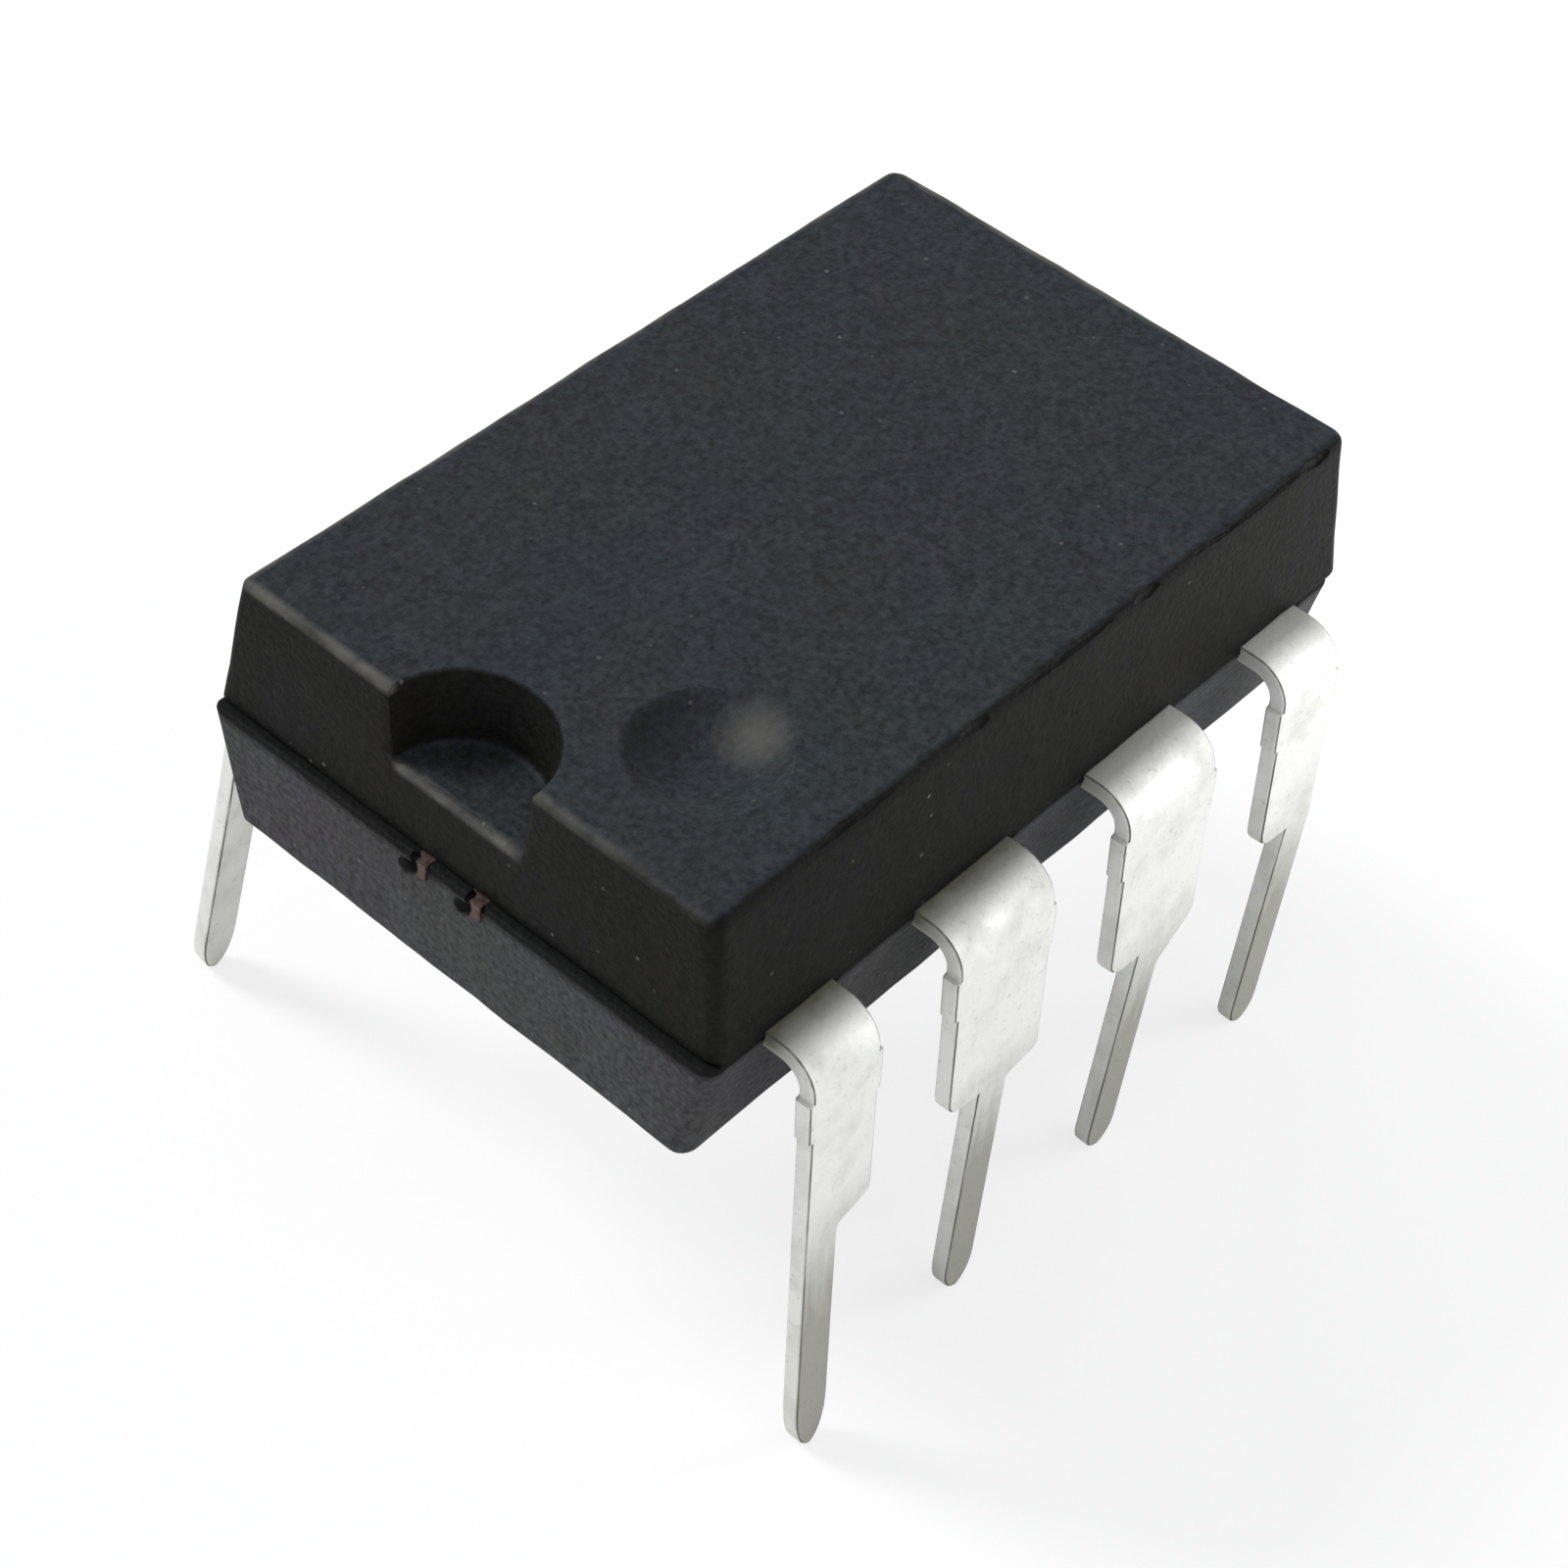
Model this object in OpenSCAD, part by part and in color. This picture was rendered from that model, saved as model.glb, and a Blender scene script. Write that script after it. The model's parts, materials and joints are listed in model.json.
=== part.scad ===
// Eight-lead moulded dual in-line package, standing on its lead tips.
// X runs along the body away from the notched end, Y runs across the two rows and Z is up.
// The origin is the middle of the lead pattern, in the plane of the lead tips.
// Leads 1 to 4 stand along the -Y side from the notched end, leads 5 to 8 come back along +Y.

/* [Body] */
// Length of each moulded half at the parting line
body_length = 9.5; // [9.2:0.02:10.2]
// Width of each moulded half at the parting line
body_width = 6.47; // [6.1:0.01:6.7]
// Height of the upper half, above the lead frame
upper_height = 1.73; // [1.5:0.01:2]
// Height of the lower half, lead frame included
lower_height = 1.48; // [1.3:0.01:1.8]
// Draft of the two end faces
end_draft = 2.3; // [1:0.1:8]
// Draft of the long sides of the upper half
upper_side_draft = 7.5; // [3:0.1:12]
// Draft of the long sides of the lower half
lower_side_draft = 10.5; // [3:0.1:12]
// How far the upper half sits towards +X from the lower one
mould_mismatch = 0.1; // [0.02:0.01:0.14]
// Radius of the four upright corners
corner_radius = 0.14; // [0.1:0.01:0.4]
// Radius along the rims of the top and bottom faces
rim_radius = 0.06; // [0.03:0.01:0.1]

/* [Marks in the moulding] */
// Radius of the end notch at the top face
notch_radius = 0.92; // [0.6:0.01:1.1]
// Depth of the end notch
notch_depth = 0.87; // [0.4:0.01:1]
// Draft of the wall of the end notch
notch_draft = 4; // [1:0.5:8]
// Distance of the end notch from the middle, towards +Y
notch_offset = 0.1; // [0:0.01:0.15]
// Radius of the dished mark beside lead 1, at the top face
dimple_radius = 0.79; // [0.5:0.01:0.9]
// Depth of the dished mark
dimple_depth = 0.24; // [0.1:0.01:0.4]
// Distance of the dished mark from the notched end
dimple_from_end = 1.62; // [1.4:0.01:2.2]
// Distance of the dished mark from the side of lead 1
dimple_from_side = 1.71; // [1.5:0.01:2]
// Radius of the two ejector marks in the underside
ejector_radius = 0.75; // [0.4:0.05:0.9]
// Depth of the ejector marks
ejector_depth = 0.05; // [0.03:0.01:0.1]
// Distance of each ejector mark from the middle of the body
ejector_reach = 2.9; // [2:0.1:3.2]

/* [Leads] */
// Distance between neighbouring leads of a row
lead_pitch = 2.54; // [2.5:0.01:2.56]
// Thickness of the lead frame strip
strip_thickness = 0.2; // [0.18:0.01:0.3]
// Width of the pin that goes through the board
pin_width = 0.46; // [0.36:0.01:0.56]
// Width of the shoulder that rests on the board
shoulder_width = 1.4; // [1.14:0.01:1.78]
// Straight run of each lead from the side of the body to the start of its bend
bend_standoff = 0.175; // [0.14:0.005:0.5]
// Inner radius of the bend outside the body
bend_radius = 0.25; // [0.15:0.01:0.35]
// Drop from the parting line to the lower end of the shoulders
shoulder_drop = 2.44; // [2.1:0.01:2.8]
// Length of the pins below the shoulders
pin_length = 3.43; // [3.18:0.01:3.8]
// Length of the rounded end of the pin, for each lead of a row
tip_lengths = [0.62, 0.42, 0.3, 0.3]; // [0.2:0.01:1]
// Rounding of the shoulder corner that faces the notched end
step_radius = 0.16; // [0.05:0.01:0.3]
// Slope of the other shoulder corner, for each lead of a row
step_slopes = [0.14, 0.1, 0.46, 0.14]; // [0.05:0.01:0.6]

/* [Sheared dam bars] */
// Drop from the parting line to the top of the sheared stubs
stub_drop = 0.5; // [0.45:0.01:0.7]
// Height of the sheared stubs
stub_height = 0.52; // [0.2:0.01:0.8]
// How far the sheared stubs stand out of the shoulder's edges
stub_reach = 0.05; // [0.02:0.01:0.08]

/* [Forming] */
// Outward lean of the shoulders of leads 1 to 4
near_shoulder_lean = 3; // [0:0.5:12]
// Outward lean of the pins of leads 1 to 4
near_pin_leans = [3.2, -2.3, -2.2, -1.6]; // [-6:0.1:14]
// Outward lean of the shoulders of leads 5 to 8
far_shoulder_lean = 10.5; // [0:0.5:12]
// Outward lean of the pins of leads 8 to 5
far_pin_leans = [11.5, 11.1, 11.8, 11.4]; // [-6:0.1:14]

/* [Lead frame inside] */
// How deep the full width of a lead is anchored in the body
anchor_depth = 0.45; // [0.3:0.01:0.6]
// Width of the lead fingers inside the body
finger_width = 0.5; // [0.36:0.01:0.6]
// Clear gap between the fingers and the paddle or its tie bars
finger_gap = 0.25; // [0.2:0.01:0.35]
// Width of the slanted fingers of the end leads at their tips
end_finger_tip = 0.46; // [0.3:0.01:0.5]
// Distance from the side of the body to the knee of the end fingers
knee_depth = 1.05; // [0.9:0.01:1.3]
// Length of the die paddle
paddle_length = 3.2; // [2.8:0.05:3.4]
// Width of the die paddle
paddle_width = 2.3; // [2:0.05:2.5]
// How far the paddle is pressed down below the fingers
paddle_downset = 0.2; // [0.1:0.01:0.3]
// Corner cut of the paddle
paddle_corner = 0.2; // [0.05:0.01:0.3]
// Width of each tie bar
tie_width = 0.22; // [0.15:0.01:0.3]
// Distance between the two tie bars of an end
tie_spacing = 0.72; // [0.6:0.01:0.8]
// Distance of the pair of tie bars from the middle, towards +Y
tie_offset = 0.1; // [0:0.01:0.15]
// Length of the slanted part of each tie bar
tie_slant = 0.3; // [0.2:0.01:0.5]
// How far the cut tie bar ends stand out of the end faces
tie_burr = 0.02; // [0.01:0.01:0.05]
// Radius of the chips in the moulding beside the cut ends
chip_radius = 0.15; // [0.1:0.01:0.2]

/* [Die and wires] */
// Length of the silicon die
die_length = 1.9; // [1.5:0.05:2.2]
// Width of the silicon die
die_width = 1.5; // [1.2:0.05:1.7]
// Thickness of the silicon die
die_thickness = 0.28; // [0.2:0.01:0.38]
// Thickness of the adhesive under the die
adhesive_thickness = 0.03; // [0.02:0.01:0.05]
// How far the adhesive squeezes out round the die
adhesive_fillet = 0.08; // [0.03:0.01:0.12]
// Distance of the bond pads from the edges of the die
pad_inset = 0.12; // [0.08:0.01:0.2]
// Diameter of the bond wires
wire_diameter = 0.03; // [0.025:0.005:0.05]
// Straight rise of each wire above its ball
wire_rise = 0.12; // [0.1:0.01:0.2]
// Radius of the loop at the top of each wire
loop_radius = 0.1; // [0.06:0.01:0.15]
// Distance of the wire's stitch from the tip of its finger
stitch_inset = 0.18; // [0.12:0.01:0.22]

/* [Hidden] */
$fn = 48;

mould_colour = "#2d3135";
tin_colour = "#c9c8c2";
copper_colour = "#b0744c";
adhesive_colour = "#9a9c9e";
silicon_colour = "#4d5470";
gold_colour = "#d8b04a";

row_count = 4;
last_slot = row_count - 1;
corner_steps = 6;
rim_steps = 3;
arc_steps = 4;
tip_steps = 7;
// Extra length that lets a cutter run clear of what it cuts
clear = 1;

tip_drop = shoulder_drop + pin_length;
half_shift = mould_mismatch / 2;
wall_y = body_width / 2;
end_x = body_length / 2;
bend_outer = bend_radius + strip_thickness;
bend_y = wall_y + bend_standoff;
// Depth from the middle of the part that holds a lead at any lean
lead_depth = bend_y + bend_outer + tip_drop;
anchor_y = wall_y - anchor_depth;
knee_y = wall_y - knee_depth;
tie_reach_y = tie_offset + tie_spacing / 2 + tie_width / 2;
paddle_top = -paddle_downset;
die_top = paddle_top + adhesive_thickness + die_thickness;
wire_radius = wire_diameter / 2;
ball_radius = 1.6 * wire_diameter;
ball_height = 0.7 * wire_diameter;
// Height at which a wire starts to flatten into its stitch, and the length of the stitch
stitch_height = 2 * wire_diameter;
stitch_length = 5 * wire_diameter;
wire_sides = 8;
loop_steps = 6;
// Heights and widths of the squashed ball, as shares of its own sizes
ball_levels = [[0, 0.8], [0.25, 1], [0.7, 1]];

// Row and place in the row of a lead, both counted from the notched end
function is_far(number) = number > row_count;
function slot_of(number) = is_far(number) ? 2 * row_count - number : number - 1;
function slot_x(slot) = (slot - last_slot / 2) * lead_pitch;
// Direction along X from an end lead to the middle of the row
function inward(slot) = slot == 0 ? 1 : -1;
function is_end(slot) = slot == 0 || slot == last_slot;

// Everything is modelled about the parting plane and lifted onto the lead tips
module stand() {
    translate([0, 0, tip_drop]) children();
}

// Turns the far row out of the near one
module to_row(number) {
    translate([slot_x(slot_of(number)), 0, 0])
        mirror([0, is_far(number) ? 0 : 1, 0]) children();
}

function rounded_ring(length, width, radius, z) = [
    for (quarter = [0:3], step = [0:corner_steps])
        let (angle = 90 * (quarter + step / corner_steps),
            side_x = quarter == 0 || quarter == 3 ? 1 : -1,
            side_y = quarter < 2 ? 1 : -1)
        [side_x * (length / 2 - radius) + radius * cos(angle),
            side_y * (width / 2 - radius) + radius * sin(angle), z]];

// Closed solid through rings of equal point counts, lowest ring first
module loft(rings) {
    count = len(rings[0]);
    levels = len(rings);
    sides = [for (level = [0:levels - 2], i = [0:count - 1]) let (next = (i + 1) % count)
        [level * count + i, (level + 1) * count + i, (level + 1) * count + next, level * count + next]];
    floor_face = [for (i = [0:count - 1]) i];
    roof_face = [for (i = [0:count - 1]) levels * count - 1 - i];
    polyhedron([for (ring = rings) each ring], concat([floor_face], sides, [roof_face]));
}

// One ring of a moulded half, at a distance from the parting plane
function half_ring(rise, side_draft, trim, way) =
    rounded_ring(body_length - 2 * (rise * tan(end_draft) + trim),
        body_width - 2 * (rise * tan(side_draft) + trim), corner_radius - trim, way * rise);

function half_rings(height, side_draft, way) = concat(
    [half_ring(0, side_draft, 0, way)],
    [for (step = [0:rim_steps]) let (angle = 90 * step / rim_steps)
        half_ring(height - rim_radius * (1 - sin(angle)), side_draft,
            rim_radius * (1 - cos(angle)), way)]);

module upper_half() {
    translate([half_shift, 0, 0]) loft(half_rings(upper_height, upper_side_draft, 1));
}

module lower_half() {
    rings = half_rings(lower_height, lower_side_draft, -1);
    translate([-half_shift, 0, 0]) loft([for (i = [len(rings) - 1:-1:0]) rings[i]]);
}

// Half-round notch through the rim of the upper half, with a level floor
module end_notch() {
    floor_radius = notch_radius - notch_depth * tan(notch_draft);
    top_end = end_x - half_shift - upper_height * tan(end_draft);
    translate([-top_end, notch_offset, upper_height - notch_depth])
        cylinder(h = notch_depth + clear, r1 = floor_radius,
            r2 = notch_radius + clear * tan(notch_draft));
}

// Dished mark beside lead 1
module pin_one_dimple() {
    ball = (dimple_depth * dimple_depth + dimple_radius * dimple_radius) / (2 * dimple_depth);
    translate([dimple_from_end - end_x, dimple_from_side - wall_y, upper_height - dimple_depth + ball])
        sphere(r = ball);
}

module ejector_marks() {
    for (side = [-1, 1])
        translate([side * ejector_reach, 0, -lower_height - clear])
            cylinder(h = clear + ejector_depth, r = ejector_radius);
}

// Chips that the shear leaves in the notched end, beside each cut tie bar
module shear_chips() {
    for (side = [-1, 1])
        translate([-end_x - half_shift, tie_offset + side * tie_spacing / 2 + tie_width / 2 + chip_radius * 0.8,
            -strip_thickness])
            sphere(r = chip_radius);
}

// Outline of a middle finger, from its tip at the paddle to the bend
module middle_finger_outline() {
    tip_y = paddle_width / 2 + finger_gap;
    f = finger_width / 2;
    w = shoulder_width / 2;
    polygon([[-f, tip_y], [f, tip_y], [f, anchor_y], [w, anchor_y], [w, bend_y],
        [-w, bend_y], [-w, anchor_y], [-f, anchor_y]]);
}

// Outline of an end finger, which slants to the end of the paddle; the middle is towards +X
module end_finger_outline() {
    outer = pin_width / 2;
    tip_x = -slot_x(0) - paddle_length / 2 - finger_gap;
    tip_y = tie_reach_y + finger_gap;
    slant = (knee_y - tip_y) / (tip_x + outer);
    polygon([[-outer, bend_y], [-outer, knee_y], [tip_x, tip_y], [tip_x, tip_y + end_finger_tip],
        [outer, tip_y + end_finger_tip + (tip_x - outer) * slant], [outer, anchor_y],
        [shoulder_width / 2, anchor_y], [shoulder_width / 2, bend_y]]);
}

// The flat part of a lead, in and just outside the body
module finger(slot) {
    translate([0, 0, -strip_thickness]) linear_extrude(strip_thickness)
        if (is_end(slot)) mirror([inward(slot) < 0 ? 1 : 0, 0]) end_finger_outline();
        else middle_finger_outline();
}

// Side view of the formed strip: run out, bend, shoulder and pin
module strip_profile(shoulder_lean, pin_lean) {
    far = 2 * bend_outer;
    shoulder_length = (shoulder_drop - bend_outer) / cos(shoulder_lean);
    pin_run = pin_length / cos(pin_lean) + clear;
    translate([bend_y - bend_outer, -strip_thickness]) square([bend_outer, strip_thickness]);
    translate([bend_y, -bend_outer]) {
        intersection() {
            difference() {
                circle(r = bend_outer);
                circle(r = bend_radius);
            }
            polygon([[0, 0], [0, far], [far, far], [far * cos(shoulder_lean), far * sin(shoulder_lean)]]);
        }
        rotate(shoulder_lean) {
            translate([bend_radius, -shoulder_length]) square([strip_thickness, shoulder_length]);
            translate([bend_radius + strip_thickness / 2, -shoulder_length]) {
                circle(d = strip_thickness);
                rotate(pin_lean - shoulder_lean) translate([-strip_thickness / 2, -pin_run])
                    square([strip_thickness, pin_run]);
            }
        }
    }
}

// Corner of a shoulder, from its edge to the edge of the pin, rounded or sloped
function round_step(edge) = [for (step = [0:arc_steps]) let (angle = 90 * step / arc_steps)
    [edge - step_radius * (1 - cos(angle)), -shoulder_drop + step_radius * (1 - sin(angle))]];
function sloped_step(edge, slope) = [[edge, -shoulder_drop], [pin_width / 2, -shoulder_drop - slope]];

// Sheared stub on the edge of a shoulder
function stub(edge) = [[edge, -stub_drop], [edge + stub_reach, -stub_drop],
    [edge + stub_reach, -stub_drop - stub_height], [edge, -stub_drop - stub_height]];

// Edge of a lead from its top down to its tip, as seen from the front, for the side towards +X
function lead_edge(is_plain, step, tip_length) = let (half_pin = pin_width / 2, half_shoulder = shoulder_width / 2)
    concat(is_plain ? concat([[half_pin, clear]], stub(half_pin))
            : concat([[half_shoulder, clear]], stub(half_shoulder), step, [[half_pin, step[len(step) - 1].y]]),
        [for (i = [0:tip_steps]) let (angle = 90 * i / tip_steps)
            [half_pin * cos(angle), tip_length * (1 - sin(angle)) - tip_drop]]);

// Front view of a lead: shoulder, pin and rounded tip
module front_outline(slot) {
    half_shoulder = shoulder_width / 2;
    tip_length = tip_lengths[slot];
    right = lead_edge(slot == last_slot, sloped_step(half_shoulder, step_slopes[slot]), tip_length);
    left = lead_edge(slot == 0, round_step(half_shoulder), tip_length);
    polygon(concat([for (p = left) [-p.x, p.y]], [for (i = [len(right) - 2:-1:0]) right[i]]));
}

// The formed part of a lead: the strip, trimmed to the front outline
module formed_lead(slot, shoulder_lean, pin_lean) {
    intersection() {
        translate([-shoulder_width, 0, 0]) rotate([90, 0, 90])
            linear_extrude(2 * shoulder_width) strip_profile(shoulder_lean, pin_lean);
        translate([0, lead_depth, 0]) rotate([90, 0, 0]) linear_extrude(lead_depth) front_outline(slot);
    }
}

module lead(number) {
    slot = slot_of(number);
    shoulder_lean = is_far(number) ? far_shoulder_lean : near_shoulder_lean;
    pin_lean = is_far(number) ? far_pin_leans[slot] : near_pin_leans[slot];
    color(tin_colour) stand() to_row(number) {
        finger(slot);
        formed_lead(slot, shoulder_lean, pin_lean);
    }
}

// One tie bar towards +X: level at the end face, then down to the paddle
module tie_bar(reach) {
    start = paddle_length / 2 - paddle_corner;
    low = start + paddle_corner;
    high = low + tie_slant;
    t = strip_thickness;
    translate([0, tie_width / 2, 0]) rotate([90, 0, 0]) linear_extrude(tie_width)
        polygon([[start, paddle_top - t], [low, paddle_top - t], [high, -t], [reach, -t],
            [reach, 0], [high, 0], [low, paddle_top], [start, paddle_top]]);
}

// Die paddle with the two tie bars of each end
module paddle_shape() {
    x = paddle_length / 2;
    y = paddle_width / 2;
    c = paddle_corner;
    translate([0, 0, paddle_top - strip_thickness]) linear_extrude(strip_thickness)
        polygon([[-x + c, -y], [x - c, -y], [x, -y + c], [x, y - c], [x - c, y], [-x + c, y],
            [-x, y - c], [-x, -y + c]]);
    for (side = [-1, 1], end = [-1, 1])
        translate([0, tie_offset + side * tie_spacing / 2, 0]) mirror([end < 0 ? 1 : 0, 0, 0])
            tie_bar(end_x - end * half_shift + tie_burr);
}

module die_paddle() {
    color(copper_colour) stand() paddle_shape();
}

module adhesive_shape() {
    spread = 2 * adhesive_fillet;
    translate([-(die_length + spread) / 2, -(die_width + spread) / 2, paddle_top])
        cube([die_length + spread, die_width + spread, adhesive_thickness]);
}

module die_adhesive() {
    color(adhesive_colour) stand() adhesive_shape();
}

module die_shape() {
    translate([-die_length / 2, -die_width / 2, die_top - die_thickness])
        cube([die_length, die_width, die_thickness]);
}

module silicon_die() {
    color(silicon_colour) stand() die_shape();
}

// Bond pad of a lead on the die, and the stitch on its finger, in the quarter of the far row
function pad_place(slot) = is_end(slot)
    ? [-inward(slot) * (die_length / 2 - pad_inset), die_width / 4]
    : [slot_x(slot) * die_length / (4 * lead_pitch / 2), die_width / 2 - pad_inset];
function stitch_place(slot) = is_end(slot)
    ? [-inward(slot) * (paddle_length / 2 + finger_gap + stitch_inset),
        tie_reach_y + finger_gap + end_finger_tip / 2 + stitch_inset / 3]
    : [slot_x(slot), paddle_width / 2 + finger_gap + stitch_inset];

// Section of a wire at a place in the XZ plane, turned over from upright
function wire_ring(place, turn, radius) = [for (i = [0:wire_sides - 1]) let (angle = 360 * i / wire_sides)
    place + radius * [cos(angle) * cos(turn), sin(angle), -cos(angle) * sin(turn)]];

// Sections of a wire: ball, rise, loop, slope down to the finger and flattened stitch
function wire_rings(span) = let (
        fall = die_top + wire_rise,
        reach = span - loop_radius,
        slope = atan2(fall, reach) + asin(loop_radius / norm([reach, fall])),
        crest = [loop_radius * (1 + sin(slope)), 0, wire_rise + loop_radius * cos(slope)],
        run = (crest.z + die_top - stitch_height) / sin(slope))
    concat(
        [for (level = ball_levels) wire_ring([0, 0, level[0] * ball_height], 0, level[1] * ball_radius)],
        [wire_ring([0, 0, ball_height], 0, wire_radius)],
        [for (step = [0:loop_steps]) let (turn = (90 + slope) * step / loop_steps)
            wire_ring([loop_radius * (1 - cos(turn)), 0, wire_rise + loop_radius * sin(turn)],
                turn, wire_radius)],
        [wire_ring(crest + run * [cos(slope), 0, -sin(slope)], 90 + slope, wire_radius)],
        [[for (i = [0:wire_sides - 1]) let (angle = 360 * i / wire_sides)
            [span - stitch_length / 2 * cos(angle), ball_radius * sin(angle), -die_top]]]);

module wire_shape(number) {
    slot = slot_of(number);
    pad = pad_place(slot);
    way = stitch_place(slot) - pad;
    mirror([0, is_far(number) ? 0 : 1, 0]) translate([pad.x, pad.y, die_top])
        rotate([0, 0, atan2(way.y, way.x)]) loft(wire_rings(norm(way)));
}

module bond_wire(number) {
    color(gold_colour) stand() wire_shape(number);
}

// Everything that the moulding closes round
module encapsulated() {
    for (number = [1:2 * row_count]) {
        to_row(number) finger(slot_of(number));
        wire_shape(number);
    }
    paddle_shape();
    adhesive_shape();
    die_shape();
}

module package_body() {
    color(mould_colour) stand() difference() {
        union() {
            upper_half();
            lower_half();
        }
        end_notch();
        pin_one_dimple();
        ejector_marks();
        shear_chips();
        encapsulated();
    }
}

package_body();
lead(1);  // lead_1
lead(2);  // lead_2
lead(3);  // lead_3
lead(4);  // lead_4
lead(5);  // lead_5
lead(6);  // lead_6
lead(7);  // lead_7
lead(8);  // lead_8
die_paddle();
die_adhesive();
silicon_die();
bond_wire(1);  // bond_wire_1
bond_wire(2);  // bond_wire_2
bond_wire(3);  // bond_wire_3
bond_wire(4);  // bond_wire_4
bond_wire(5);  // bond_wire_5
bond_wire(6);  // bond_wire_6
bond_wire(7);  // bond_wire_7
bond_wire(8);  // bond_wire_8
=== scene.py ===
"""Looks of an eight-lead moulded dual in-line package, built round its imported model."""

import json
import math
from collections import namedtuple
from functools import partial

import bmesh
import bpy
from bpy.props import FloatProperty, FloatVectorProperty, PointerProperty
from mathutils import Matrix, Vector

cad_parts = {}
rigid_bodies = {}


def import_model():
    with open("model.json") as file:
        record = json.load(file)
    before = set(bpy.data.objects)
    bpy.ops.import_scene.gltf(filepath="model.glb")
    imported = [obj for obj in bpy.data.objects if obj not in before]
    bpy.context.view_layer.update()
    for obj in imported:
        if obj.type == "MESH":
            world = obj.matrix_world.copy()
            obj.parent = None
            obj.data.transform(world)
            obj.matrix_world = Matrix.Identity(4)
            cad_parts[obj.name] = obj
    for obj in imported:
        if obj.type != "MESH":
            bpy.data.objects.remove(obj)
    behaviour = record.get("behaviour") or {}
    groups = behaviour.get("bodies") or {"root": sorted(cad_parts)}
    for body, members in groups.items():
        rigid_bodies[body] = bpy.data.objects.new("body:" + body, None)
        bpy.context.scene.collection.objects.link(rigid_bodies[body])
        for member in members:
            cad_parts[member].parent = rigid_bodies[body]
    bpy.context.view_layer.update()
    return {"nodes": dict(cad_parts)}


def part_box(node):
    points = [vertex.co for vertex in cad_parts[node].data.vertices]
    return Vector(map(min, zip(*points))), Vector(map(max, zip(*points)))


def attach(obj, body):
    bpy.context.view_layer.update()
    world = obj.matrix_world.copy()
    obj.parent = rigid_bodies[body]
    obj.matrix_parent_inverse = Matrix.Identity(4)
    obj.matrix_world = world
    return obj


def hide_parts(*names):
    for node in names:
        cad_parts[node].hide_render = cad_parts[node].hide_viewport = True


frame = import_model()

bl_info = {
    "name": "Dual In-line Package",
    "version": (1, 0, 0),
    "blender": (4, 5, 0),
    "location": "3D View > Sidebar > Package",
    "description": "Builds the moulded body, the formed leads and the studio of an eight-lead package",
    "category": "Add Mesh",
}

# Pieces are modelled in millimetres, because the edit tools' own tolerances are
# too coarse for a chip in metres, and are reduced to metres when they are done.
WORKSHOP = 1000.0

ROW_COUNT = 4
# Shortest length of strip over which a width may change
STEP = 0.012

body_low, body_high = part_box("package_body")
UNDERSIDE = body_low.z
TOP = body_high.z
# Height of the seam between the two moulded halves, where the leads come out
PARTING = 0.00587
# Middles of the two cut tie bars along Y, in millimetres
TIE_BARS = (0.62, -0.1)


def mm(length):
    return length * WORKSHOP


# Sizes and colours that a user would change


def amount(name, description, default, **more):
    return FloatProperty(name=name, description=description, default=default, **more)


def amounts(name, description, defaults, **more):
    return FloatVectorProperty(
        name=name, description=description, default=defaults, size=len(defaults), **more
    )


def length(name, description, default):
    return amount(name, description, default, unit="LENGTH", precision=5)


def angle(name, description, degrees):
    return amount(name, description, math.radians(degrees), subtype="ANGLE")


def linear(code):
    """Linear colour of an sRGB hex value."""
    parts = [int(code[i : i + 2], 16) / 255 for i in (1, 3, 5)]
    return tuple(c / 12.92 if c <= 0.04045 else ((c + 0.055) / 1.055) ** 2.4 for c in parts)


def colour(name, description, code):
    return amounts(name, description, linear(code), subtype="COLOR", min=0, max=1)


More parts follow.
